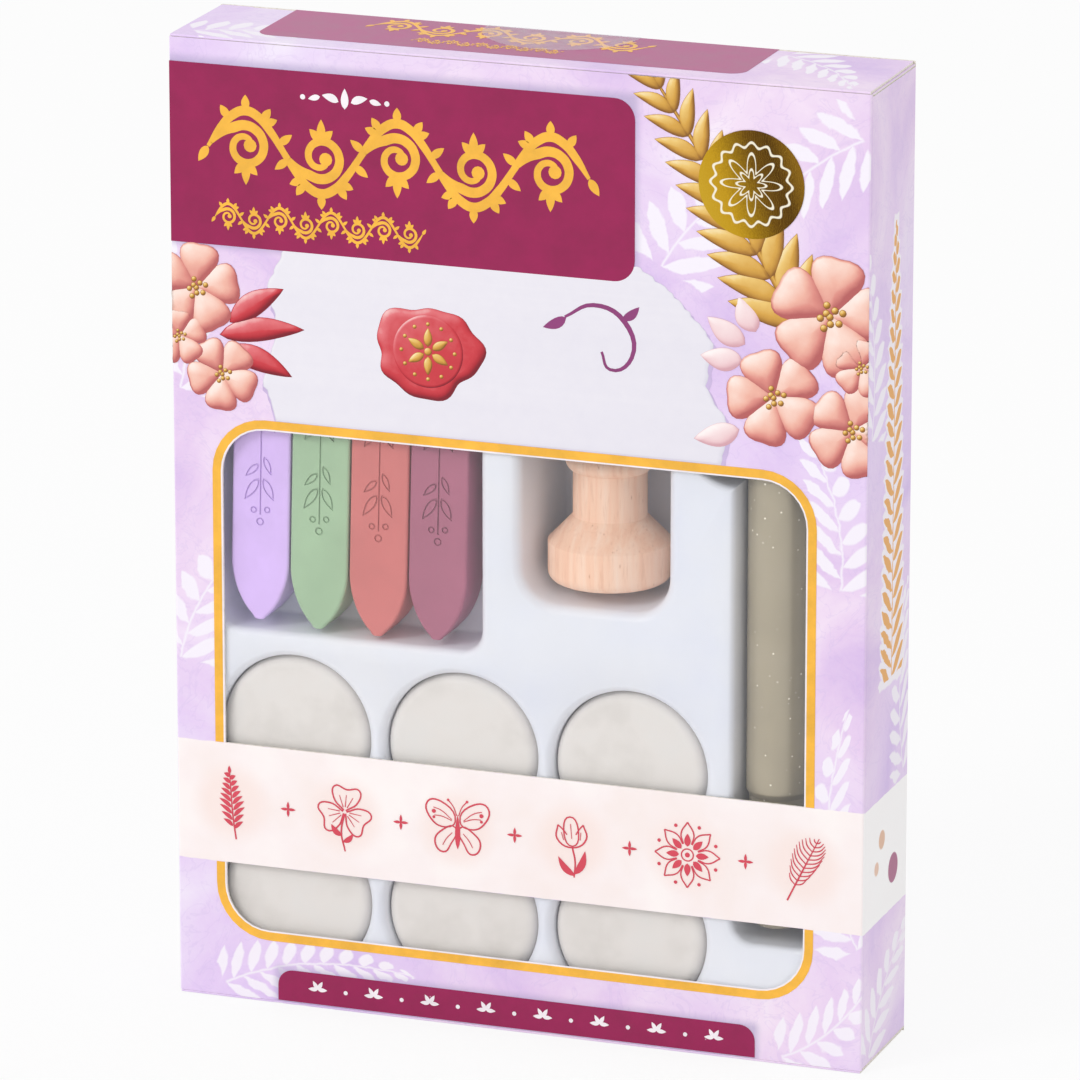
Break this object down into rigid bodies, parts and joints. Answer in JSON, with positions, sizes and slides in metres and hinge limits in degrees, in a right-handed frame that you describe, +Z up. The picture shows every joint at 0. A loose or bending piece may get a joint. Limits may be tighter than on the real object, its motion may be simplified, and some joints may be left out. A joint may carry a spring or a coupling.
{
  "type": "wax seal kit in a window carton",
  "caption": "Upright folding carton with a bridged film window and tuck-in ends; its tray holds wax sticks, a turned handle, round stamp heads and a capped marker.",
  "frame": {"origin": "middle of the carton's foot, on the surface that it stands on", "axes": "+Z up the carton's height, -Y out of the window side, +X to the right seen from the window side"},
  "size_m": [0.135, 0.0262, 0.1851],
  "materials": {
    "printed_board": "satin varnished print",
    "clear_film": "clear gloss",
    "gold_foil": "metallised gold foil",
    "clear_wafer": "clear satin",
    "white_tray": "satin",
    "wax_lilac": "satin",
    "wax_green": "satin",
    "wax_red": "satin",
    "wax_plum": "satin",
    "wick_cotton": "matte",
    "beech": "sanded",
    "silicone": "matte",
    "gold_marker": "metallic gloss",
    "marker_inside": "matte",
    "leaflet_paper": "matte"
  },
  "bodies": {
    "carton": {"carton_sleeve": "printed_board", "window_film": "clear_film", "foil_sticker": "gold_foil", "blister_tray": "white_tray", "wax_stick_lilac": "wax_lilac", "wax_stick_green": "wax_green", "wax_stick_red": "wax_red", "wax_stick_plum": "wax_plum", "wick_lilac": "wick_cotton", "wick_green": "wick_cotton", "wick_red": "wick_cotton", "wick_plum": "wick_cotton", "wooden_handle": "beech", "stamp_head_1": "silicone", "stamp_head_2": "silicone", "stamp_head_3": "silicone", "stamp_head_4": "silicone", "stamp_head_5": "silicone", "stamp_head_6": "silicone", "marker_barrel": "gold_marker", "marker_tail_cap": "gold_marker", "marker_reservoir": "marker_inside", "marker_front_section": "gold_marker", "marker_nib": "marker_inside", "instruction_leaflet": "leaflet_paper"},
    "top_lid": {"top_lid": "printed_board", "wafer_seal": "clear_wafer"},
    "top_tuck": {"top_tuck_flap": "printed_board"},
    "top_dust_left": {"top_dust_flap_left": "printed_board"},
    "top_dust_right": {"top_dust_flap_right": "printed_board"},
    "bottom_lid": {"bottom_lid": "printed_board"},
    "bottom_tuck": {"bottom_tuck_flap": "printed_board"},
    "bottom_dust_left": {"bottom_dust_flap_left": "printed_board"},
    "bottom_dust_right": {"bottom_dust_flap_right": "printed_board"},
    "marker_cap": {"marker_cap": "gold_marker"}
  },
  "joints": [
    {"name": "top_lid_crease", "type": "hinge", "parent": "carton", "child": "top_lid", "pos_m": [0, -0.01277, 0.18477], "axis": [1, 0, 0], "range_deg": [0, 150]},
    {"name": "top_tuck_crease", "type": "hinge", "parent": "top_lid", "child": "top_tuck", "pos_m": [0, 0.01222, 0.18477], "axis": [-1, 0, 0], "range_deg": [0, 40]},
    {"name": "top_dust_crease_left", "type": "hinge", "parent": "carton", "child": "top_dust_left", "pos_m": [-0.06728, 0, 0.18429], "axis": [0, -1, 0], "range_deg": [0, 65]},
    {"name": "top_dust_crease_right", "type": "hinge", "parent": "carton", "child": "top_dust_right", "pos_m": [0.06728, 0, 0.18429], "axis": [0, 1, 0], "range_deg": [0, 65]},
    {"name": "bottom_lid_crease", "type": "hinge", "parent": "carton", "child": "bottom_lid", "pos_m": [0, -0.01277, 0.00022], "axis": [-1, 0, 0], "range_deg": [0, 150]},
    {"name": "bottom_tuck_crease", "type": "hinge", "parent": "bottom_lid", "child": "bottom_tuck", "pos_m": [0, 0.01222, 0.00022], "axis": [1, 0, 0], "range_deg": [0, 40]},
    {"name": "bottom_dust_crease_left", "type": "hinge", "parent": "carton", "child": "bottom_dust_left", "pos_m": [-0.06728, 0, 0.00071], "axis": [0, 1, 0], "range_deg": [0, 65]},
    {"name": "bottom_dust_crease_right", "type": "hinge", "parent": "carton", "child": "bottom_dust_right", "pos_m": [0.06728, 0, 0.00071], "axis": [0, -1, 0], "range_deg": [0, 65]},
    {"name": "marker_cap_pull", "type": "slide", "parent": "carton", "child": "marker_cap", "axis": [0, 0, 1], "range_m": [0, 0.0125]}
  ],
  "couplings": [
    {"joint": "top_tuck_crease", "follows": "top_lid_crease", "ratio": 0.25},
    {"joint": "top_dust_crease_left", "follows": "top_lid_crease", "ratio": 0.4},
    {"joint": "top_dust_crease_right", "follows": "top_lid_crease", "ratio": 0.4},
    {"joint": "bottom_tuck_crease", "follows": "bottom_lid_crease", "ratio": 0.25},
    {"joint": "bottom_dust_crease_left", "follows": "bottom_lid_crease", "ratio": 0.4},
    {"joint": "bottom_dust_crease_right", "follows": "bottom_lid_crease", "ratio": 0.4}
  ]
}
